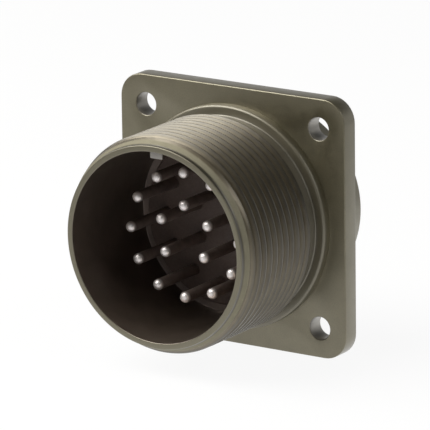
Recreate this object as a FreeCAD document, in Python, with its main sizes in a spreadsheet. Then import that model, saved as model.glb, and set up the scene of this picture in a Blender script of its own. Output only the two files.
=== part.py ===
import FreeCAD, Part
import os

import Sketcher
from FreeCAD import Rotation, Vector

# Square-flange receptacle of a round threaded connector, with 17 pins.
# +Z is up, where the polarising key is. The open, mating side looks along -Y.
# The origin is the centre of the flange's back face, which lies on the panel.
# Depths in the sheet are measured from the rim of the front barrel towards the back.

SIZES = {
    # Flange
    "flange_width": 38.1,
    "flange_thickness": 2.9,
    "flange_corner": 3.6,
    "flange_edge": 0.2,
    "hole_spacing": 29.36,
    "hole_diameter": 3.4,
    # Bore, and the walls that grow outwards from it
    "bore_radius": 13.88,
    "rim_width": 0.87,
    "rim_edge": 0.12,
    "pilot_length": 0.45,
    "lead_in_height": 1.125,
    "lead_in_length": 1.85,
    "relief_depth": 0.87,
    "relief_length": 2.4,
    "relief_ramp": 0.5,
    "collar_height": 0.625,
    "collar_length": 1.45,
    "collar_edge": 0.2,
    # Lengths of the two barrels
    "barrel_length": 20.3,
    "rear_length": 9.6,
    # Lip that stops the inserts, and the rear barrel around them
    "lip_height": 1.23,
    "lip_length": 1.2,
    "lip_ahead_of_flange": 2.3,
    "seat_width": 0.35,
    "rear_wall": 1.1,
    "rear_edge": 0.4,
    # Polarising key at the top of the bore
    "key_width": 2.1,
    "key_height": 1.2,
    "key_setback": 1.0,
    # Rib that keeps the inserts from turning, at the bottom of the rear bore
    "rib_width": 1.6,
    "rib_height": 0.8,
    "rib_reach": 3.2,
    # Inserts
    "insert_gap": 0.1,
    "insert_edge": 0.25,
    "nose_proud": 0.9,
    "front_insert_body": 4.8,
    # Contact pattern
    "outer_ring": 9.144,
    "inner_ring": 4.36,
    "inner_angle_one": 64.5,
    "inner_angle_two": 131.0,
    # Contacts
    "pin_length": 9.87,
    "pin_radius": 0.794,
    "nose_flat": 0.4,
    "nose_length": 0.45,
    "contact_gap": 0.06,
    "stop_radius": 1.75,
    "stop_length": 1.2,
    "stop_gap": 0.3,
    "cup_radius": 1.3,
    "cup_well_radius": 0.9,
    "cup_well_depth": 5.0,
    "cup_opening": 3.6,
    "cup_opening_height": 0.33,
    "cup_projection": 1.8,
    # Washer and spring ring behind the inserts
    "washer_thickness": 0.6,
    "washer_width": 1.6,
    "ring_thickness": 0.9,
    "ring_width": 1.25,
    "ring_gap_angle": 22.0,
    "ring_groove_depth": 0.5,
    "ring_slack": 0.05,
    "ring_recess": 0.95,
}

OUTER_COUNT = 12
HOLE_COUNT = 4
CONTACT_LETTERS = "abcdefghjklmnprst"

doc = FreeCAD.newDocument("receptacle")


def make_sheet():
    sheet = doc.addObject("Spreadsheet::Sheet", "Sizes")
    for row, (name, value) in enumerate(SIZES.items(), start=1):
        sheet.set("A%d" % row, name)
        sheet.set("B%d" % row, "%s" % value)
        sheet.setAlias("B%d" % row, name)
    doc.recompute()
    return sheet


sheet = make_sheet()


def formula(text):
    """Write each size's name as a reference to the sheet."""
    words = []
    word = ""
    for sign in text + " ":
        if sign.isalnum() or sign == "_":
            word += sign
            continue
        words.append("Sizes." + word if word in SIZES else word)
        words.append(sign)
        word = ""
    return "".join(words).strip()


def value_of(text):
    """The number that a formula of sizes gives now."""
    return float(sheet.evalExpression(formula(text)))


def origin_feature(body, role):
    for feature in body.Origin.OriginFeatures:
        if feature.Role == role:
            return feature
    raise ValueError(role)


def new_body(name, depth):
    """A body whose own origin lies on the centre line, at this depth behind the rim."""
    body = doc.addObject("PartDesign::Body", name)
    body.Label = name
    body.setExpression("Placement.Base.y", formula("(%s) - barrel_length - flange_thickness" % depth))
    return body


def turn_body(body, angle):
    """Turn a body about its own line from front to back."""
    body.Placement.Rotation = Rotation(Vector(0, 1, 0), value_of(angle))
    body.setExpression("Placement.Rotation.Angle", formula("(%s) * 1 deg" % angle))


def new_sketch(body, name, role, depth="0"):
    sketch = body.newObject("Sketcher::SketchObject", name)
    sketch.AttachmentSupport = [(origin_feature(body, role), "")]
    sketch.MapMode = "FlatFace"
    sketch.setExpression("AttachmentOffset.Base.z", formula("-(%s)" % depth))
    return sketch


def tie_point(sketch, edge, end, across, along):
    """Hold one point of an edge at two formulas, measured from the sketch's origin."""
    if across == "0":
        sketch.addConstraint(Sketcher.Constraint("PointOnObject", edge, end, -2))
    else:
        index = sketch.addConstraint(
            Sketcher.Constraint("DistanceX", -1, 1, edge, end, value_of(across)))
        sketch.setExpression("Constraints[%d]" % index, formula(across))
    if along == "0":
        sketch.addConstraint(Sketcher.Constraint("PointOnObject", edge, end, -1))
    else:
        index = sketch.addConstraint(
            Sketcher.Constraint("DistanceY", -1, 1, edge, end, value_of(along)))
        sketch.setExpression("Constraints[%d]" % index, formula(along))


def draw_outline(sketch, points):
    """A closed outline of straight edges through these pairs of formulas."""
    places = [Vector(value_of(across), value_of(along), 0) for across, along in points]
    count = len(points)
    for k in range(count):
        sketch.addGeometry(Part.LineSegment(places[k], places[(k + 1) % count]), False)
    for k in range(count):
        sketch.addConstraint(Sketcher.Constraint("Coincident", k, 2, (k + 1) % count, 1))
    for k, (across, along) in enumerate(points):
        tie_point(sketch, k, 1, across, along)


def draw_circle(sketch, across, along, radius):
    centre = Vector(value_of(across), value_of(along), 0)
    edge = sketch.addGeometry(Part.Circle(centre, Vector(0, 0, 1), value_of(radius)), False)
    index = sketch.addConstraint(Sketcher.Constraint("Radius", edge, value_of(radius)))
    sketch.setExpression("Constraints[%d]" % index, formula(radius))
    tie_point(sketch, edge, 3, across, along)


def turn(body, name, points):
    """Add a turned solid: pairs of radius and depth, revolved about the centre line."""
    sketch = new_sketch(body, name + "_profile", "XY_Plane")
    draw_outline(sketch, points)
    feature = body.newObject("PartDesign::Revolution", name)
    feature.Profile = sketch
    feature.ReferenceAxis = (sketch, ["V_Axis"])
    feature.Angle = 360
    return feature


def turn_out(body, name, points):
    """Cut a turned recess from the body."""
    sketch = new_sketch(body, name + "_profile", "XY_Plane")
    draw_outline(sketch, points)
    feature = body.newObject("PartDesign::Groove", name)
    feature.Profile = sketch
    feature.ReferenceAxis = (sketch, ["V_Axis"])
    feature.Angle = 360
    return feature


def pad_back(body, name, sketch, length):
    """Pad a sketch of the front view towards the back."""
    feature = body.newObject("PartDesign::Pad", name)
    feature.Profile = sketch
    feature.setExpression("Length", formula(length))
    feature.Reversed = True
    return feature


def pocket_back(body, name, sketch, length):
    """Cut a sketch of the front view towards the back."""
    feature = body.newObject("PartDesign::Pocket", name)
    feature.Profile = sketch
    feature.setExpression("Length", formula(length))
    return feature


def around(body, name, feature, count):
    """Repeat a feature evenly about the centre line."""
    pattern = body.newObject("PartDesign::PolarPattern", name)
    pattern.Originals = [feature]
    pattern.Axis = (origin_feature(body, "Y_Axis"), [""])
    pattern.Angle = 360
    pattern.Occurrences = count
    body.Tip = pattern
    return pattern


def edges_where(feature, test):
    names = []
    for number, edge in enumerate(feature.Shape.Edges, start=1):
        if test(edge):
            names.append("Edge%d" % number)
    return names


# Radii that follow one another outwards from the bore
PILOT_RADIUS = "bore_radius + rim_width"
THREAD_RADIUS = PILOT_RADIUS + " + lead_in_height"
RELIEF_RADIUS = THREAD_RADIUS + " - relief_depth"
COLLAR_RADIUS = THREAD_RADIUS + " + collar_height"
LIP_RADIUS = "bore_radius - lip_height"
REAR_BORE = LIP_RADIUS + " + seat_width"
REAR_RADIUS = REAR_BORE + " + rear_wall"
INSERT_RADIUS = REAR_BORE + " - insert_gap"

# Depths behind the rim, from the front to the back
LIP_FRONT = "barrel_length - lip_ahead_of_flange"
LIP_BACK = LIP_FRONT + " + lip_length"
NOSE_FRONT = LIP_FRONT + " - nose_proud"
PIN_TIP = NOSE_FRONT + " - pin_length"
INSERT_JOINT = LIP_BACK + " + front_insert_body"
REAR_END = "barrel_length + flange_thickness + rear_length"
GROOVE_BACK = REAR_END + " - ring_recess"
GROOVE_FRONT = GROOVE_BACK + " - ring_thickness - 2 * ring_slack"
INSERTS_BACK = GROOVE_FRONT + " - washer_thickness"


def minus(first, second):
    """The formula of a difference."""
    return "(%s) - (%s)" % (first, second)


def flange_outline(body):
    """The square flange with its rounded corners and lightly broken edges."""
    half = "flange_width / 2"
    sketch = new_sketch(body, "flange_square", "XZ_Plane", "barrel_length")
    draw_outline(sketch, [
        ("-" + half, "-" + half),
        (half, "-" + half),
        (half, half),
        ("-" + half, half),
    ])
    flange = pad_back(body, "flange", sketch, "flange_thickness")
    doc.recompute()

    def runs_back(edge):
        box = edge.BoundBox
        return box.YLength > box.XLength + box.ZLength

    corners = body.newObject("PartDesign::Fillet", "flange_corners")
    corners.Base = (flange, edges_where(flange, runs_back))
    corners.setExpression("Radius", formula("flange_corner"))
    doc.recompute()

    def lies_on_a_face(edge):
        return not runs_back(edge)

    rims = body.newObject("PartDesign::Chamfer", "flange_rims")
    rims.Base = (corners, edges_where(corners, lies_on_a_face))
    rims.setExpression("Size", formula("flange_edge"))
    doc.recompute()


def make_shell():
    """One casting: flange, threaded front barrel, collar, rear barrel, key and rib."""
    body = new_body("shell", "0")
    flange_outline(body)
    thread_front = "pilot_length + lead_in_length"
    collar_front = "barrel_length - collar_length"
    thread_back = collar_front + " - relief_length"
    flange_middle = "barrel_length + flange_thickness / 2"
    turn(body, "barrels", [
        ("0", "0"),
        (PILOT_RADIUS + " - rim_edge", "0"),
        (PILOT_RADIUS, "rim_edge"),
        (PILOT_RADIUS, "pilot_length"),
        (THREAD_RADIUS, thread_front),
        (THREAD_RADIUS, thread_back),
        (RELIEF_RADIUS, thread_back + " + relief_ramp"),
        (RELIEF_RADIUS, collar_front),
        (COLLAR_RADIUS + " - collar_edge", collar_front),
        (COLLAR_RADIUS, collar_front + " + collar_edge"),
        (COLLAR_RADIUS, flange_middle),
        (REAR_RADIUS, flange_middle),
        (REAR_RADIUS, REAR_END + " - rear_edge"),
        (REAR_RADIUS + " - rear_edge", REAR_END),
        ("0", REAR_END),
    ])
    turn_out(body, "bore", [
        ("0", "0"),
        ("bore_radius + rim_edge", "0"),
        ("bore_radius", "rim_edge"),
        ("bore_radius", LIP_FRONT),
        (LIP_RADIUS, LIP_FRONT),
        (LIP_RADIUS, LIP_BACK),
        (REAR_BORE, LIP_BACK),
        (REAR_BORE, GROOVE_FRONT),
        (REAR_BORE + " + ring_groove_depth", GROOVE_FRONT),
        (REAR_BORE + " + ring_groove_depth", GROOVE_BACK),
        (REAR_BORE, GROOVE_BACK),
        (REAR_BORE, REAR_END),
        ("0", REAR_END),
    ])
    wall_middle = "bore_radius + rim_width / 2"
    sketch = new_sketch(body, "key_section", "XZ_Plane", "key_setback")
    draw_outline(sketch, [
        ("-key_width / 2", "bore_radius - key_height"),
        ("key_width / 2", "bore_radius - key_height"),
        ("key_width / 2", wall_middle),
        ("-key_width / 2", wall_middle),
    ])
    pad_back(body, "key", sketch, minus(LIP_FRONT, "key_setback"))
    in_rear_wall = "-(%s) - rear_wall / 2" % REAR_BORE
    sketch = new_sketch(body, "rib_section", "XZ_Plane", LIP_BACK)
    draw_outline(sketch, [
        ("-rib_width / 2", minus("rib_height", REAR_BORE)),
        ("rib_width / 2", minus("rib_height", REAR_BORE)),
        ("rib_width / 2", in_rear_wall),
        ("-rib_width / 2", in_rear_wall),
    ])
    pad_back(body, "rib", sketch, "front_insert_body + rib_reach")
    sketch = new_sketch(body, "screw_hole", "XZ_Plane", "barrel_length")
    draw_circle(sketch, "hole_spacing / 2", "hole_spacing / 2", "hole_diameter / 2")
    doc.recompute()
    hole = pocket_back(body, "hole", sketch, "flange_thickness")
    around(body, "holes", hole, HOLE_COUNT)
    return body


def inner_places():
    """The five inner contacts, clockwise from the top as the pins are seen."""
    places = []
    for turn_text in ("0", "inner_angle_one", "inner_angle_two", "-inner_angle_two", "-inner_angle_one"):
        places.append(("inner_ring", turn_text))
    return places


def outer_places():
    places = []
    for k in range(OUTER_COUNT):
        places.append(("outer_ring", "%g" % (k * 360 / OUTER_COUNT)))
    return places


def across_and_up(ring, angle):
    """Formulas of a contact's place, from its ring and its angle from the top."""
    if angle == "0":
        return "0", ring
    return "%s * sin((%s) * 1 deg)" % (ring, angle), "%s * cos((%s) * 1 deg)" % (ring, angle)


def contact_holes(body, name, radius, length):
    """A hole for each contact: the outer ring by a pattern, the inner five in one sketch."""
    sketch = new_sketch(body, name + "_outer", "XZ_Plane")
    draw_circle(sketch, "0", "outer_ring", radius)
    first = pocket_back(body, name + "_one", sketch, length)
    around(body, name + "_ring", first, OUTER_COUNT)
    sketch = new_sketch(body, name + "_inner", "XZ_Plane")
    for ring, angle in inner_places():
        across, up = across_and_up(ring, angle)
        draw_circle(sketch, across, up, radius)
    pocket_back(body, name + "_five", sketch, length)


def rib_slot(body, depth, length):
    """The slot that fits over the shell's rib."""
    sketch = new_sketch(body, "slot_section", "XZ_Plane", depth)
    half = "rib_width / 2 + insert_gap"
    outside = "-(%s) - rib_height" % REAR_BORE
    floor = minus("rib_height + insert_gap", REAR_BORE)
    draw_outline(sketch, [
        ("-(%s)" % half, outside),
        (half, outside),
        (half, floor),
        ("-(%s)" % half, floor),
    ])
    pocket_back(body, "slot", sketch, length)


def make_front_insert():
    """Its nose stands through the lip and is the floor behind the pins."""
    body = new_body("front_insert", NOSE_FRONT)
    nose_radius = LIP_RADIUS + " - insert_gap"
    nose = "nose_proud + lip_length"
    length = nose + " + front_insert_body"
    turn(body, "disc", [
        ("0", "0"),
        (nose_radius + " - insert_edge", "0"),
        (nose_radius, "insert_edge"),
        (nose_radius, nose),
        (INSERT_RADIUS, nose),
        (INSERT_RADIUS, length),
        ("0", length),
    ])
    contact_holes(body, "pin_hole", "pin_radius + contact_gap", length)
    rib_slot(body, nose, "front_insert_body")
    return body


def make_rear_insert():
    """It carries the solder cups. A recess in its front holds the contacts' stops."""
    body = new_body("rear_insert", INSERT_JOINT)
    length = minus(INSERTS_BACK, INSERT_JOINT)
    recess_radius = "outer_ring + stop_radius + stop_gap"
    turn(body, "disc", [
        ("0", "stop_length"),
        (recess_radius, "stop_length"),
        (recess_radius, "0"),
        (INSERT_RADIUS, "0"),
        (INSERT_RADIUS, length + " - insert_edge"),
        (INSERT_RADIUS + " - insert_edge", length),
        ("0", length),
    ])
    contact_holes(body, "cup_hole", "cup_radius + contact_gap", length)
    rib_slot(body, "0", "rib_reach + insert_gap")
    return body


def make_washer():
    """Flat washer between the rear insert and the spring ring."""
    body = new_body("thrust_washer", INSERTS_BACK)
    inner = INSERT_RADIUS + " - washer_width"
    turn(body, "washer", [
        (inner, "0"),
        (INSERT_RADIUS, "0"),
        (INSERT_RADIUS, "washer_thickness"),
        (inner, "washer_thickness"),
    ])
    return body


def make_retaining_ring():
    """Split spring ring in the groove of the rear barrel, its gap at the bottom."""
    body = new_body("retaining_ring", GROOVE_FRONT + " + ring_slack")
    outer = REAR_BORE + " + ring_groove_depth - ring_slack"
    inner = outer + " - ring_width"
    ring = turn(body, "ring", [
        (inner, "0"),
        (outer, "0"),
        (outer, "ring_thickness"),
        (inner, "ring_thickness"),
    ])
    ring.setExpression("Angle", formula("360 - ring_gap_angle"))
    turn_body(body, "90 + ring_gap_angle / 2")
    return body


def make_contact(letter, ring, angle):
    """A turned pin: bevelled nose, stop, and a solder cup open away from the middle."""
    body = new_body("pin_contact_" + letter, PIN_TIP)
    across, up = across_and_up(ring, angle)
    body.setExpression("Placement.Base.x", formula(across))
    body.setExpression("Placement.Base.z", formula(up))
    turn_body(body, angle)
    stop_front = minus(INSERT_JOINT, PIN_TIP)
    stop_back = stop_front + " + stop_length"
    end = minus(REAR_END, PIN_TIP) + " + cup_projection"
    well_floor = end + " - cup_well_depth"
    turn(body, "pin", [
        ("0", "0"),
        ("nose_flat", "0"),
        ("pin_radius", "nose_length"),
        ("pin_radius", stop_front),
        ("stop_radius", stop_front),
        ("stop_radius", stop_back),
        ("cup_radius", stop_back),
        ("cup_radius", end),
        ("cup_well_radius", end),
        ("cup_well_radius", well_floor),
        ("0", well_floor),
    ])
    opening = end + " - cup_opening"
    past_end = end + " + cup_radius"
    above_cup = "cup_opening_height + cup_radius"
    sketch = new_sketch(body, "cup_side", "YZ_Plane")
    draw_outline(sketch, [
        (opening, above_cup),
        (opening + " + cup_radius", "cup_opening_height"),
        (past_end, "cup_opening_height"),
        (past_end, above_cup),
    ])
    cut = body.newObject("PartDesign::Pocket", "cup_opening")
    cut.Profile = sketch
    cut.Type = "ThroughAll"
    cut.Midplane = True
    return body


def make_contacts():
    places = outer_places() + inner_places()
    return [make_contact(letter, ring, angle) for letter, (ring, angle) in zip(CONTACT_LETTERS, places)]


def failed_objects():
    return [item.Name for item in doc.Objects if "Invalid" in item.State or "Error" in item.State]


pieces = [
    make_shell(),
    make_front_insert(),
    make_rear_insert(),
    make_washer(),
    make_retaining_ring(),
]
pieces += make_contacts()
doc.recompute()

failures = failed_objects()
for piece in pieces:
    if piece.Shape.isNull() or not piece.Shape.isValid():
        failures.append(piece.Label)
if failures:
    raise SystemExit("failed: " + ", ".join(failures))

os.makedirs("parts", exist_ok=True)
for piece in pieces:
    piece.Shape.exportStep("parts/%s.step" % piece.Label)
    box = piece.Shape.BoundBox
    print("%-16s volume %9.2f  x %6.2f %6.2f  y %6.2f %6.2f  z %6.2f %6.2f" % (
        piece.Label, piece.Shape.Volume,
        box.XMin, box.XMax, box.YMin, box.YMax, box.ZMin, box.ZMax))
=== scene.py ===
import math

import bmesh
import bpy
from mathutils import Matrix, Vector


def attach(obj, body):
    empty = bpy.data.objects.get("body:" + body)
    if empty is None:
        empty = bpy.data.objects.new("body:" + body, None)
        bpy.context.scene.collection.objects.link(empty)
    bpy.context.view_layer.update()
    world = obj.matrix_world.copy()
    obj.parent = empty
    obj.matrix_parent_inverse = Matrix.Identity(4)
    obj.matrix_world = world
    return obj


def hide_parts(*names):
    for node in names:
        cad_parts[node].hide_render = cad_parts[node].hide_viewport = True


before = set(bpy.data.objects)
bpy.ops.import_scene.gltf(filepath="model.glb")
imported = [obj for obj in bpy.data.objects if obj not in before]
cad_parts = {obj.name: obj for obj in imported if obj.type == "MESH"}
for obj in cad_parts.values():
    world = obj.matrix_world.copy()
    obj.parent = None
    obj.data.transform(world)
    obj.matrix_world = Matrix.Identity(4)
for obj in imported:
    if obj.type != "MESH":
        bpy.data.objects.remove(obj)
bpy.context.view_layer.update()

# Looks of the square-flange connector receptacle.
# Lengths of the object are millimetres in the part's own frame; meshes are scaled to metres when made.
# Depth runs along Y: the open rim is at -23.2, the flange lies from -2.9 to 0, the solder side is at +Y.
# Turns round the object start at the top, where the key is, and go towards +X.

MM = 0.001
scene = bpy.context.scene


# Sizes shared with the solids (round things by their radius)

FLANGE_WIDTH = 38.1
FLANGE_CORNER = 3.6
FLANGE_FRONT = -2.9
HOLE = 1.7
HOLE_PLACE = 14.68

RIM = -23.2
BORE = 13.88
PILOT = 14.75
CONE_FRONT = RIM + 0.45
CONE_BACK = CONE_FRONT + 1.85
THREAD = 15.875
ROOT = 15.005
PITCH = 1.411
RAMP_FRONT = -6.75
RAMP_BACK = -6.25
RELIEF = ROOT
COLLAR = 16.5
COLLAR_FRONT = -4.35

LIP = 12.65
LIP_FRONT = -5.2
LIP_BACK = -4.0
REAR = 14.1
REAR_END = 9.6
REAR_BORE = 13.0
GROOVE = 13.5
GROOVE_FRONT = 7.65
GROOVE_BACK = 8.65

KEY_WIDTH = 2.1
KEY_LOW = 12.68
KEY_FRONT = -22.2
RIB_WIDTH = 1.6
RIB_TOP = -12.2
RIB_BACK = 4.0

OUTER_RING = 9.144
INNER_RING = 4.36
INNER_ANGLES = (0, 64.5, 131.0, -131.0, -64.5)
PIN = 0.794
PIN_TIP = -15.97
STOP = 1.75
STOP_FRONT = 0.8
STOP_BACK = 2.0
CUP = 1.3
CUP_END = 11.4
CUP_WELL = 0.9
WELL_FLOOR = 6.4
CUP_CUT = 7.8
CUP_LEVEL = 0.33


# Sizes of what is cut or rounded only here

ROOT_MEETS_CONE = CONE_FRONT + (CONE_BACK - CONE_FRONT) * (ROOT - PILOT) / (THREAD - PILOT)
THREAD_FRONT = CONE_FRONT + 0.90
FULL_CUT = THREAD_FRONT + 0.45
PLAIN_RING = 0.06
FLANGE_MIDDLE = FLANGE_FRONT / 2
PLATE_OPENING = 13.5
FLANGE_EDGE = 0.16
HOLE_EDGE = 0.12
NOSE_LENGTH = 0.62

# One pitch of the 60 degree thread: share of the pitch, share of the depth that is left standing
THREAD_SHAPE = [
    (0.00, 0.00), (0.08, 0.015), (0.125, 0.08), (0.20, 0.30), (0.34, 0.72), (0.405, 0.93), (0.44, 0.99),
    (0.50, 1.00),
    (0.56, 0.99), (0.595, 0.93), (0.66, 0.72), (0.80, 0.30), (0.875, 0.08), (0.92, 0.015),
]

# Points round a full turn, and steps over a contact's nose
AROUND = 264
HOLE_AROUND = 48
OPENING_AROUND = 96
CONTACT_AROUND = 36
NOSE_STEPS = 8

# Points nearer to each other than this are made one
WELD = 0.0008

# Most of a side's length that one rounded corner may take
CORNER_SHARE = 0.45


# Mesh tools

def mesh_object(name, build, sharp):
    """Make an object from a function that fills a bmesh in millimetres; sharp is an angle in degrees."""
    work = bmesh.new()
    build(work)
    bmesh.ops.remove_doubles(work, verts=work.verts, dist=WELD)
    bmesh.ops.recalc_face_normals(work, faces=work.faces)
    bmesh.ops.scale(work, vec=(MM, MM, MM), verts=work.verts)
    data = bpy.data.meshes.new(name)
    work.to_mesh(data)
    work.free()
    data.shade_smooth()
    data.set_sharp_from_angle(angle=math.radians(sharp))
    piece = bpy.data.objects.new(name, data)
    scene.collection.objects.link(piece)
    return piece


def join_meshes(name, pieces):
    """Put all the meshes into the first piece, and take the others away."""
    work = bmesh.new()
    for piece in pieces:
        work.from_mesh(piece.data)
    work.to_mesh(pieces[0].data)
    work.free()
    for piece in pieces[1:]:
        bpy.data.objects.remove(piece)
    pieces[0].name = name
    return pieces[0]


def rounded(points, radii, steps=4):
    """A line of points with the corner at each point replaced by a small arc, where its radius isn't 0."""
    out = []
    for k, (point, radius) in enumerate(zip(points, radii)):
        if radius == 0:
            out.append(point)
            continue
        here = Vector(point)
        before = Vector(points[k - 1]) - here
        after = Vector(points[k + 1]) - here
        reach = radius / math.tan(before.angle(after) / 2)
        reach = min(reach, before.length * CORNER_SHARE, after.length * CORNER_SHARE)
        start = here + before.normalized() * reach
        end = here + after.normalized() * reach
        for s in range(steps + 1):
            t = s / steps
            spot = start.lerp(here, t).lerp(here.lerp(end, t), t)
            out.append((spot.x, spot.y))
    return out


def grid(work, rows, closed):
    """Skin a list of rows, each a list of points in order; closed joins the last row to the first."""
    made = [[work.verts.new(point) for point in row] for row in rows]
    last = len(made) if closed else len(made) - 1
    for i in range(last):
        one = made[i]
        two = made[(i + 1) % len(made)]
        for j in range(len(one) - 1):
            corners = []
            for vert in (one[j], one[j + 1], two[j + 1], two[j]):
                if all((vert.co - other.co).length > 1e-6 for other in corners):
                    corners.append(vert)
            if len(corners) > 2:
                work.faces.new(corners)
    return made


def around_point(radius, y, turn, centre=(0, 0)):
    """The point at a share of a full turn, counted from the top."""
    angle = 2 * math.pi * turn
    return (centre[0] + radius * math.sin(angle), y, centre[1] + radius * math.cos(angle))


def ring_row(radius, y, around=AROUND, centre=(0, 0)):
    return [around_point(radius, y, j / around, centre) for j in range(around + 1)]


def build_block(low, high, edge):
    """A function that makes a block with its edges lightly rounded."""
    def build(work):
        made = bmesh.ops.create_cube(work, size=1)
        for vert in made["verts"]:
            vert.co = Vector([low[k] if vert.co[k] < 0 else high[k] for k in range(3)])
        bmesh.ops.bevel(work, geom=work.edges, offset=edge, segments=3, profile=0.5, affect="EDGES")
    return build


# Shell: barrels and thread

def outer_radius(y):
    """The turned outside of the front barrel before its thread is cut."""
    if y < CONE_BACK:
        return PILOT + (THREAD - PILOT) * (y - CONE_FRONT) / (CONE_BACK - CONE_FRONT)
    if y > RAMP_FRONT:
        return THREAD + (RELIEF - THREAD) * (y - RAMP_FRONT) / (RAMP_BACK - RAMP_FRONT)
    return THREAD


def thread_radius(y, height):
    """The thread's surface at a share of its depth; its cut grows from nothing on the lead-in cone."""
    outer = outer_radius(y)
    radius = ROOT + (THREAD - ROOT) * height
    if y < FULL_CUT:
        cut = (y - THREAD_FRONT) / (FULL_CUT - THREAD_FRONT)
        radius = max(radius, outer - (outer - ROOT) * cut)
    return min(radius, outer)


def thread_rows():
    """Rows that follow the right-handed helix, held between the thread's two ends."""
    turns = int((RAMP_BACK - ROOT_MEETS_CONE) / PITCH) + 3
    rows = []
    for turn in range(-1, turns):
        for share, height in THREAD_SHAPE:
            row = []
            for j in range(AROUND + 1):
                along = ROOT_MEETS_CONE + PITCH * (turn + share + j / AROUND)
                y = min(max(along, THREAD_FRONT), RAMP_BACK)
                row.append(around_point(thread_radius(y, height), y, j / AROUND))
            rows.append(row)
    return rows


def front_outline():
    """Radius and depth from the bore over the rim to where the thread starts."""
    plain = THREAD_FRONT - PLAIN_RING
    points = [
        (BORE, LIP_FRONT), (BORE, RIM), (PILOT, RIM), (PILOT, CONE_FRONT), (outer_radius(plain), plain),
    ]
    return rounded(points, [0, 0.14, 0.16, 0.05, 0])[1:]


def back_outline():
    """Radius and depth from the thread's end over collar, rear barrel and lip to the bore."""
    corners = [
        # radius, depth, rounding
        (RELIEF, RAMP_BACK + PLAIN_RING, 0),
        (RELIEF, COLLAR_FRONT, 0.22),
        (COLLAR, COLLAR_FRONT, 0.42),
        (COLLAR, FLANGE_MIDDLE, 0),
        (REAR, FLANGE_MIDDLE, 0),
        (REAR, REAR_END, 0.45),
        (REAR_BORE, REAR_END, 0.15),
        (REAR_BORE, GROOVE_BACK, 0.04),
        (GROOVE, GROOVE_BACK, 0.04),
        (GROOVE, GROOVE_FRONT, 0.04),
        (REAR_BORE, GROOVE_FRONT, 0.04),
        (REAR_BORE, LIP_BACK, 0.05),
        (LIP, LIP_BACK, 0.08),
        (LIP, LIP_FRONT, 0.08),
        (BORE, LIP_FRONT, 0.1),
        (BORE, RIM, 0),
    ]
    points = [(radius, y) for radius, y, rounding in corners]
    return rounded(points, [rounding for radius, y, rounding in corners])[:-1]


def build_barrels(work):
    rows = [ring_row(radius, y) for radius, y in front_outline()]
    rows += thread_rows()
    rows += [ring_row(radius, y) for radius, y in back_outline()]
    grid(work, rows, closed=True)


# Shell: flange, key and rib

def plate_edge(edge, steps):
    """Inset and depth across the plate for a side rounded at both faces."""
    arc = []
    for s in range(steps + 1):
        angle = math.pi / 2 * s / steps
        arc.append((edge * (1 - math.sin(angle)), edge * (1 - math.cos(angle))))
    front = [(inset, FLANGE_FRONT + depth) for inset, depth in arc]
    back = [(inset, -depth) for inset, depth in reversed(arc)]
    return front + back


def flange_row(inset, y, steps=10):
    """The square's outline with its round corners, as a closed row."""
    half = FLANGE_WIDTH / 2 - inset
    radius = FLANGE_CORNER - inset
    row = []
    for quarter in range(4):
        centre_x = (half - radius) * (1 if quarter in (0, 1) else -1)
        centre_z = (half - radius) * (1 if quarter in (0, 3) else -1)
        for s in range(steps + 1):
            row.append(around_point(radius, y, (quarter + s / steps) / 4, (centre_x, centre_z)))
    return row + row[:1]


def fill_plate_face(work, y):
    """Close the plate's face between its outline, the screw holes and the middle opening."""
    rim = []
    for edge in work.edges:
        if edge.is_boundary and all(abs(vert.co.y - y) < 1e-4 for vert in edge.verts):
            rim.append(edge)
    bmesh.ops.triangle_fill(work, edges=rim, use_beauty=True, use_dissolve=False)


def build_flange(work):
    """Square plate with rounded rims and four screw holes; its middle is hidden in the barrels."""
    grid(work, [flange_row(inset, y) for inset, y in plate_edge(FLANGE_EDGE, 4)], closed=False)
    for side in (1, -1):
        for level in (1, -1):
            place = (side * HOLE_PLACE, level * HOLE_PLACE)
            rows = [ring_row(HOLE + grow, y, HOLE_AROUND, place) for grow, y in plate_edge(HOLE_EDGE, 3)]
            grid(work, rows, closed=False)
    opening = [ring_row(PLATE_OPENING, y, OPENING_AROUND) for y in (FLANGE_FRONT, 0)]
    grid(work, opening, closed=False)
    bmesh.ops.remove_doubles(work, verts=work.verts, dist=WELD)
    fill_plate_face(work, FLANGE_FRONT)
    fill_plate_face(work, 0.0)


def make_shell():
    """All of the shell's forms in one piece; key and rib are sunk a little into what carries them."""
    key = build_block(
        (-KEY_WIDTH / 2, KEY_FRONT, KEY_LOW),
        (KEY_WIDTH / 2, LIP_FRONT + 0.2, BORE + 0.22),
        0.14,
    )
    rib = build_block(
        (-RIB_WIDTH / 2, LIP_BACK - 0.1, -REAR_BORE - 0.5),
        (RIB_WIDTH / 2, RIB_BACK, RIB_TOP),
        0.1,
    )
    parts = [
        mesh_object("barrels", build_barrels, 38),
        mesh_object("flange", build_flange, 40),
        mesh_object("key", key, 40),
        mesh_object("rib", rib, 40),
    ]
    return join_meshes("shell_finish", parts)


shell = make_shell()


# Contacts

# Letters of the outer ring and then of the inner one; i, o and q aren't used
LETTERS = "abcdefghjklmnprst"


def contact_profile():
    """Radius and depth from the round nose to the floor of the solder well."""
    points = []
    for s in range(NOSE_STEPS + 1):
        turn = math.pi / 2 * s / NOSE_STEPS
        points.append((PIN * math.sin(turn), PIN_TIP + NOSE_LENGTH * (1 - math.cos(turn))))
    points += [
        (PIN, STOP_FRONT), (STOP, STOP_FRONT), (STOP, STOP_BACK), (CUP, STOP_BACK),
        (CUP, CUP_END), (CUP_WELL, CUP_END), (CUP_WELL, WELL_FLOOR), (0, WELL_FLOOR),
    ]
    return points


def build_contact(work):
    rows = [ring_row(max(radius, 1e-5), y, CONTACT_AROUND) for radius, y in contact_profile()]
    grid(work, rows, closed=False)


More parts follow.
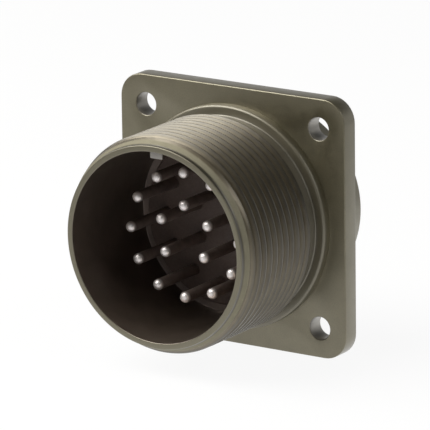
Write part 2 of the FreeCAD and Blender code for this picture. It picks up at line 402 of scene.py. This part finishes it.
def build_cup_cutter(work):
    """What is cut from the solder cup: its outer side, with a curved start."""
    top = 2.2
    end = 13.0
    side = 2.0
    outline = [
        (CUP_CUT, top), (CUP_CUT + 0.05, 1.2), (CUP_CUT + 0.3, 0.72), (CUP_CUT + 0.75, 0.42),
        (CUP_CUT + 1.3, CUP_LEVEL), (end, CUP_LEVEL), (end, top),
    ]
    made = grid(work, [[(-side, y, z), (side, y, z)] for y, z in outline], closed=True)
    work.faces.new([row[0] for row in made])
    work.faces.new([row[1] for row in made])


def cut_away(piece, tool):
    """Take the tool's shape out of the piece, and the tool out of the scene."""
    cut = piece.modifiers.new("cup", "BOOLEAN")
    cut.operation = "DIFFERENCE"
    cut.solver = "EXACT"
    cut.object = tool
    bpy.context.view_layer.update()
    graph = bpy.context.evaluated_depsgraph_get()
    data = bpy.data.meshes.new_from_object(piece.evaluated_get(graph))
    piece.modifiers.clear()
    piece.data = data
    bpy.data.objects.remove(tool)


def placed_copy(data, ring, degrees):
    """The contact's mesh turned about its own line and moved out to its place on a ring."""
    angle = math.radians(degrees)
    cos = math.cos(angle)
    sin = math.sin(angle)
    data = data.copy()
    for vert in data.vertices:
        x, y, z = vert.co
        vert.co = (x * cos + z * sin + ring * MM * sin, y, -x * sin + z * cos + ring * MM * cos)
    data.update()
    return data


def make_contacts():
    """One contact made, then set out on the outer and the inner ring."""
    first = mesh_object("contact_first", build_contact, 34)
    cut_away(first, mesh_object("contact_first_cut", build_cup_cutter, 30))
    spots = [(OUTER_RING, 30.0 * k) for k in range(12)] + [(INNER_RING, angle) for angle in INNER_ANGLES]
    made = []
    for letter, (ring, degrees) in zip(LETTERS, spots):
        data = placed_copy(first.data, ring, degrees)
        contact = bpy.data.objects.new("contact_" + letter, data)
        scene.collection.objects.link(contact)
        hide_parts("pin_contact_" + letter)
        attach(contact, "root")
        made.append(contact)
    bpy.data.objects.remove(first)
    return made


contacts = make_contacts()

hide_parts("shell")
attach(shell, "root")


# Material tools

class Nodes:
    """Short hand for one node tree."""

    def __init__(self, tree):
        self.tree = tree
        self.shader = tree.nodes.get("Principled BSDF")
        coordinates = self.add("ShaderNodeTexCoord")
        self.place = coordinates.outputs["Object"]
        self.direction = coordinates.outputs["Generated"]

    def add(self, kind, **values):
        node = self.tree.nodes.new(kind)
        for key, value in values.items():
            setattr(node, key, value)
        return node

    def link(self, a, b):
        self.tree.links.new(a, b)

    def fill(self, socket, value):
        """Give a socket a number, a colour or another node's output."""
        if isinstance(value, (int, float)):
            socket.default_value = value
        elif isinstance(value, tuple):
            socket.default_value = value + (1.0,)
        else:
            self.link(value, socket)

    def set(self, name, value):
        self.fill(self.shader.inputs[name], value)

    def noise(self, scale, detail=3.0, rough=0.55, place=None):
        node = self.add("ShaderNodeTexNoise")
        node.inputs["Scale"].default_value = scale
        node.inputs["Detail"].default_value = detail
        node.inputs["Roughness"].default_value = rough
        self.link(place or self.place, node.inputs["Vector"])
        return node.outputs["Fac"]

    def ranged(self, value, low, high, to_low=0.0, to_high=1.0):
        """The value's way from low to high, held at both ends; low may be the larger one."""
        node = self.add("ShaderNodeMapRange")
        node.inputs["From Min"].default_value = low
        node.inputs["From Max"].default_value = high
        node.inputs["To Min"].default_value = to_low
        node.inputs["To Max"].default_value = to_high
        self.link(value, node.inputs["Value"])
        return node.outputs["Result"]

    def step(self, value, nought, one):
        """A mask that goes from nought to one between two lengths in millimetres."""
        return self.ranged(value, nought * MM, one * MM)

    def math(self, operation, *values):
        node = self.add("ShaderNodeMath", operation=operation)
        for socket, value in zip(node.inputs, values):
            self.fill(socket, value)
        return node.outputs["Value"]

    def mix(self, factor, one, two):
        node = self.add("ShaderNodeMix", data_type="RGBA")
        self.fill(node.inputs[0], factor)
        self.fill(node.inputs[6], one)
        self.fill(node.inputs[7], two)
        return node.outputs[2]

    def patches(self, pattern, tones, low=0.35, high=0.7):
        """Two tones that change over softly where the pattern goes from low to high."""
        return self.mix(self.ranged(pattern, low, high), *tones)

    def axes(self, vector):
        parts = self.add("ShaderNodeSeparateXYZ")
        self.link(vector, parts.inputs[0])
        return parts.outputs

    def length(self, vector):
        node = self.add("ShaderNodeVectorMath", operation="LENGTH")
        self.link(vector, node.inputs[0])
        return node.outputs["Value"]

    def radius(self):
        """Distance from the object's centre line, in metres."""
        across = self.axes(self.place)
        flat = self.add("ShaderNodeCombineXYZ")
        self.link(across["X"], flat.inputs["X"])
        self.link(across["Z"], flat.inputs["Z"])
        return self.length(flat.outputs[0])

    def bump(self, height, distance, strength):
        node = self.add("ShaderNodeBump")
        node.inputs["Strength"].default_value = strength
        node.inputs["Distance"].default_value = distance
        self.link(height, node.inputs["Height"])
        self.link(node.outputs["Normal"], self.shader.inputs["Normal"])


def new_material(name):
    material = bpy.data.materials.new(name)
    material.use_nodes = True
    return material, Nodes(material.node_tree)


# Shell: olive film on a satin plating

OLIVE = ((0.155, 0.135, 0.077), (0.189, 0.167, 0.100))
OLIVE_SPECK = (0.090, 0.074, 0.038)
# Thread tones are painted light and shade: flanks and roots lighter, crests darker, to soften the bright
# crest lines and dark grooves.
THREAD_VALLEY_PAINTED_LIGHT = ((0.128, 0.102, 0.057), (0.156, 0.128, 0.076))
THREAD_CREST_PAINTED_SHADE = ((0.050, 0.040, 0.021), (0.070, 0.058, 0.033))
# Painted light: the relief groove is made pale where it would be a shaded groove.
RELIEF_PAINTED_LIGHT = (0.200, 0.180, 0.132)
# Painted shade: a darker tone that dims the highlight on the collar's rounded edge.
COLLAR_EDGE_PAINTED_SHADE = (0.135, 0.122, 0.088)
# Painted light: the lead-in cone is made pale for the light band it shows.
LEAD_IN_PAINTED_LIGHT = (0.275, 0.255, 0.185)
# Painted shade: the dark line in the step between the rim face and the lead-in.
STEP_PAINTED_SHADE = (0.052, 0.043, 0.026)
# Painted shade: the rim face is made a little darker than the olive.
RIM_FACE_PAINTED_SHADE = (0.145, 0.128, 0.076)
# Painted shade: the bore is made a dark brown for the shade inside the shell.
BORE_PAINTED_SHADE = ((0.110, 0.075, 0.058), (0.165, 0.120, 0.097))
# Painted light: the key's front end is made pale, as a lit spot.
KEY_END_PAINTED_LIGHT = (0.25, 0.235, 0.21)
# Painted light: the screw holes' walls are made pale for the light seen in them.
HOLE_WALL_PAINTED_LIGHT = (0.34, 0.32, 0.285)

# Radii between which a mask goes from nought to one
OUTSIDE = (14.40, 14.50)
ON_CREST = (15.45, 15.75)
IN_RELIEF = (15.60, 15.30)

# Half of the depth over which a band's end changes over, and where the painted shade behind the rim ends
SOFT = 0.1
STEP_SHADE_BACK = CONE_FRONT + 0.17


def hole_mask(n):
    """One in the four screw holes."""
    across = n.axes(n.place)
    squares = []
    for axis in ("X", "Z"):
        away = n.math("SUBTRACT", n.math("ABSOLUTE", across[axis]), HOLE_PLACE * MM)
        squares.append(n.math("MULTIPLY", away, away))
    distance = n.math("SQRT", n.math("ADD", *squares))
    return n.step(distance, HOLE + 0.06, HOLE - 0.01)


def shell_masks(n):
    """Where each tone of the shell lies; a mask is one there and nought elsewhere."""
    radius = n.radius()
    depth = n.axes(n.place)["Y"]
    outside = n.step(radius, *OUTSIDE)

    def band(front, back):
        """The outside between two depths."""
        inward = n.step(depth, front - SOFT, front + SOFT)
        outward = n.step(depth, back + SOFT, back - SOFT)
        return n.math("MULTIPLY", outside, n.math("MULTIPLY", inward, outward))

    thread = band(THREAD_FRONT, RAMP_BACK - 0.15)
    in_relief = n.step(radius, *IN_RELIEF)
    in_bore = n.step(radius, BORE + 0.08, BORE - 0.02)
    as_far_as_lip = n.math("LESS_THAN", depth, (LIP_FRONT + 0.7) * MM)
    clear_of_wall = n.step(radius, BORE - 0.04, BORE - 0.10)
    at_key_front = n.step(depth, KEY_FRONT + 0.3, KEY_FRONT + 0.1)
    return {
        "thread": thread,
        "crest": n.math("MULTIPLY", thread, n.step(radius, *ON_CREST)),
        "relief": n.math("MULTIPLY", in_relief, band(RAMP_BACK - 0.05, COLLAR_FRONT + 0.05)),
        "collar edge": band(COLLAR_FRONT - 0.45, COLLAR_FRONT + 0.75),
        "lead-in": band(STEP_SHADE_BACK, THREAD_FRONT),
        "step": band(RIM - 0.8, STEP_SHADE_BACK),
        "rim face": n.step(depth, RIM + 0.20, RIM + 0.08),
        "bore": n.math("MULTIPLY", in_bore, as_far_as_lip),
        "key end": n.math("MULTIPLY", clear_of_wall, at_key_front),
        "holes": hole_mask(n),
    }


def shell_colour(n, masks):
    """The plain olive with each place's tone laid over it in turn."""
    colour = n.patches(n.noise(180, detail=4.0), OLIVE, high=0.68)
    specks = n.ranged(n.noise(5200, detail=2.0), 0.4, 0.75, 0.0, 0.35)
    colour = n.mix(specks, colour, OLIVE_SPECK)
    # All tones laid over the olive below are painted light and shade, as noted where they are set.
    layers = [
        # place, share, tone
        ("thread", 1.0, n.patches(n.noise(420, detail=4.0), THREAD_VALLEY_PAINTED_LIGHT, high=0.65)),
        ("crest", 1.0, n.patches(n.noise(420, detail=4.0), THREAD_CREST_PAINTED_SHADE, high=0.65)),
        ("relief", 1.0, RELIEF_PAINTED_LIGHT),
        ("collar edge", 0.5, COLLAR_EDGE_PAINTED_SHADE),
        ("lead-in", 0.9, LEAD_IN_PAINTED_LIGHT),
        ("step", 0.9, STEP_PAINTED_SHADE),
        ("rim face", 1.0, RIM_FACE_PAINTED_SHADE),
        ("bore", 1.0, n.patches(n.noise(260, detail=4.0), BORE_PAINTED_SHADE, high=0.68)),
        ("key end", 0.9, KEY_END_PAINTED_LIGHT),
        ("holes", 0.9, HOLE_WALL_PAINTED_LIGHT),
    ]
    for place, share, tone in layers:
        colour = n.mix(n.math("MULTIPLY", masks[place], share), colour, tone)
    return colour


def shell_roughness(n, masks):
    """Satin in patches, duller on the lead-in and a little on the collar's edge."""
    patchy = n.ranged(n.noise(900), 0.3, 0.7, 0.33, 0.44)
    on_lead_in = n.math("MULTIPLY", masks["lead-in"], 0.3)
    on_edge = n.math("MULTIPLY", masks["collar edge"], 0.12)
    return n.math("ADD", patchy, n.math("ADD", on_lead_in, on_edge))


def olive_metal():
    """The film is a thin coat over the plating, and is worn off the lead-in; the lead-in's paler tone is
    painted light.
    """
    material, n = new_material("olive_satin_metal")
    masks = shell_masks(n)
    n.set("Base Color", shell_colour(n, masks))
    n.set("Metallic", 0.75)
    n.set("Coat Weight", n.ranged(masks["lead-in"], 0.0, 1.0, 1.0, 0.0))
    n.set("Coat IOR", 1.65)
    n.set("Coat Roughness", 0.36)
    n.set("Roughness", shell_roughness(n, masks))
    n.bump(n.noise(9000, detail=2.0), 0.02 * MM, 0.3)
    return material


# Inserts, contacts, washer and spring ring

MOULDING = ((0.080, 0.053, 0.042), (0.105, 0.072, 0.060))
BRIGHT_SILVER = ((0.84, 0.79, 0.77), (0.91, 0.86, 0.84))
# Painted shade: the contacts' shafts are made dark for the shade inside the shell.
SHAFT_PAINTED_SHADE = ((0.20, 0.155, 0.135), (0.27, 0.215, 0.19))
RED_FIBRE = ((0.085, 0.030, 0.018), (0.16, 0.065, 0.038))
SPRING_STEEL = ((0.36, 0.35, 0.33), (0.50, 0.49, 0.47))


def black_moulding():
    material, n = new_material("black_moulding")
    n.set("Base Color", n.patches(n.noise(3500), MOULDING))
    n.set("Roughness", n.ranged(n.noise(1200), 0.3, 0.7, 0.42, 0.56))
    n.bump(n.noise(7000), 0.02 * MM, 0.3)
    return material


def silver_plate():
    """Bright silver at the tip and at the solder cup; the shaft between is painted darker, as painted
    shade inside the shell.
    """
    material, n = new_material("silver_plate")
    depth = n.axes(n.place)["Y"]
    behind_tip = n.step(depth, PIN_TIP + 0.47, PIN_TIP + 0.92)
    ahead_of_cup = n.step(depth, STOP_BACK - 0.4, STOP_BACK - 1.2)
    on_shaft = n.math("MULTIPLY", behind_tip, ahead_of_cup)
    tone = n.noise(800)
    n.set("Base Color", n.mix(on_shaft, n.patches(tone, BRIGHT_SILVER), n.patches(tone, SHAFT_PAINTED_SHADE)))
    n.set("Metallic", n.ranged(on_shaft, 0.0, 1.0, 0.85, 0.6))
    n.set("Roughness", n.ranged(tone, 0.3, 0.7, 0.40, 0.48))
    return material


def red_fibre():
    """Pressed fibre board, its fibres drawn out along Z."""
    material, n = new_material("red_fibre")
    stretched = n.add("ShaderNodeMapping")
    stretched.inputs["Scale"].default_value = (1.0, 1.0, 0.25)
    n.link(n.place, stretched.inputs["Vector"])
    fibre = n.noise(6000, 4.0, 0.6, stretched.outputs["Vector"])
    n.set("Base Color", n.patches(fibre, RED_FIBRE))
    n.set("Roughness", n.ranged(fibre, 0.3, 0.7, 0.7, 0.85))
    n.bump(fibre, 0.04 * MM, 0.6)
    return material


def spring_steel():
    material, n = new_material("spring_steel")
    n.set("Base Color", n.patches(n.noise(1500), SPRING_STEEL))
    n.set("Metallic", 1.0)
    n.set("Roughness", n.ranged(n.noise(4000), 0.3, 0.7, 0.28, 0.42))
    n.bump(n.noise(9000, detail=2.0), 0.01 * MM, 0.4)
    return material


def dress(piece, material):
    piece.data.materials.clear()
    piece.data.materials.append(material)


dress(shell, olive_metal())
silver = silver_plate()
for contact in contacts:
    dress(contact, silver)
black = black_moulding()
dress(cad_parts["front_insert"], black)
dress(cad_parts["rear_insert"], black)
dress(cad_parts["thrust_washer"], red_fibre())
dress(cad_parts["retaining_ring"], spring_steel())


# Camera and lamps (metres, degrees and watts)

LENS = 424.98
CAMERA_PLACE = (0.38632, -0.59061, 0.19130)
CAMERA_TURN = (74.790, 0.7337, 33.323)
LAMP_AIM = (0, -0.012, 0)
LAMPS = [
    # name, place, width, power, colour
    ("key", (-0.24, -0.175, 0.345), 0.42, 3.4, (1.0, 0.99, 0.96)),
    ("right", (0.37, -0.01, 0.26), 0.26, 0.40, (1, 1, 1)),
    ("fill", (-0.02, -0.58, 0.10), 0.25, 0.12, (1, 1, 1)),
]


def make_camera():
    data = bpy.data.cameras.new("camera")
    data.sensor_width = 36
    data.lens = LENS
    data.clip_start = 0.01
    data.clip_end = 20
    camera = bpy.data.objects.new("camera", data)
    camera.location = CAMERA_PLACE
    camera.rotation_euler = [math.radians(degrees) for degrees in CAMERA_TURN]
    scene.collection.objects.link(camera)
    scene.camera = camera


def area_lamp(name, place, width, power, colour):
    data = bpy.data.lights.new(name, "AREA")
    data.shape = "RECTANGLE"
    data.size = width
    data.size_y = width
    data.energy = power
    data.color = colour
    lamp = bpy.data.objects.new(name, data)
    lamp.location = place
    lamp.rotation_euler = (Vector(LAMP_AIM) - Vector(place)).to_track_quat("-Z", "Y").to_euler()
    scene.collection.objects.link(lamp)


# Room and floor

ROOM_DIM = 0.05
ROOM_BRIGHT = 0.62
PAPER = (0.9, 0.9, 0.9)
PAPER_GLOW = 0.92
GLOW_NEAR = 0.04
GLOW_FAR = 0.20
GLOW_LEFT = 0.45
FLOOR_REACH = 3.0


def pale_room():
    """Bright low down behind the object, as in a white sweep, and dim elsewhere."""
    world = bpy.data.worlds.new("studio")
    world.use_nodes = True
    n = Nodes(world.node_tree)
    towards = n.axes(n.direction)
    low_down = n.ranged(towards["Z"], 0.55, 0.15)
    behind = n.ranged(towards["Y"], 0.0, 0.5)
    level = n.ranged(n.math("MULTIPLY", low_down, behind), 0.0, 1.0, ROOM_DIM, ROOM_BRIGHT)
    background = n.tree.nodes["Background"]
    n.fill(background.inputs["Color"], (1.0, 1.0, 1.0))
    n.fill(background.inputs["Strength"], level)
    scene.world = world


def floor_glow(n, path):
    """White to the camera; in reflections it fades with the distance from the object."""
    near = n.ranged(n.length(n.place), GLOW_FAR, GLOW_NEAR, GLOW_LEFT, 1.0)
    glow = n.add("ShaderNodeEmission")
    n.fill(glow.inputs["Strength"], n.math("MAXIMUM", path["Is Camera Ray"], near))
    return glow.outputs[0]


def white_paper():
    """Plain paper for diffuse light, which keeps the shadow, with a glow for rays that see it directly."""
    material, n = new_material("white_paper")
    n.set("Base Color", PAPER)
    n.set("Roughness", 0.9)
    path = n.add("ShaderNodeLightPath").outputs
    seen = n.math("MAXIMUM", path["Is Camera Ray"], path["Is Glossy Ray"])
    seen = n.math("MAXIMUM", seen, path["Is Transmission Ray"])
    both = n.add("ShaderNodeMixShader")
    n.fill(both.inputs[0], n.math("MULTIPLY", seen, PAPER_GLOW))
    n.link(n.shader.outputs[0], both.inputs[1])
    n.link(floor_glow(n, path), both.inputs[2])
    n.link(both.outputs[0], n.tree.nodes["Material Output"].inputs["Surface"])
    return material


def make_floor():
    """One large square that the flange's lower edge stands on."""
    level = -FLANGE_WIDTH / 2 * MM
    sides = ((-1, -1), (1, -1), (1, 1), (-1, 1))
    mesh = bpy.data.meshes.new("floor")
    mesh.from_pydata([(x * FLOOR_REACH, y * FLOOR_REACH, level) for x, y in sides], [], [(0, 1, 2, 3)])
    mesh.materials.append(white_paper())
    floor = bpy.data.objects.new("floor", mesh)
    scene.collection.objects.link(floor)


make_camera()
for lamp in LAMPS:
    area_lamp(*lamp)
pale_room()
make_floor()

scene.view_settings.view_transform = "Standard"
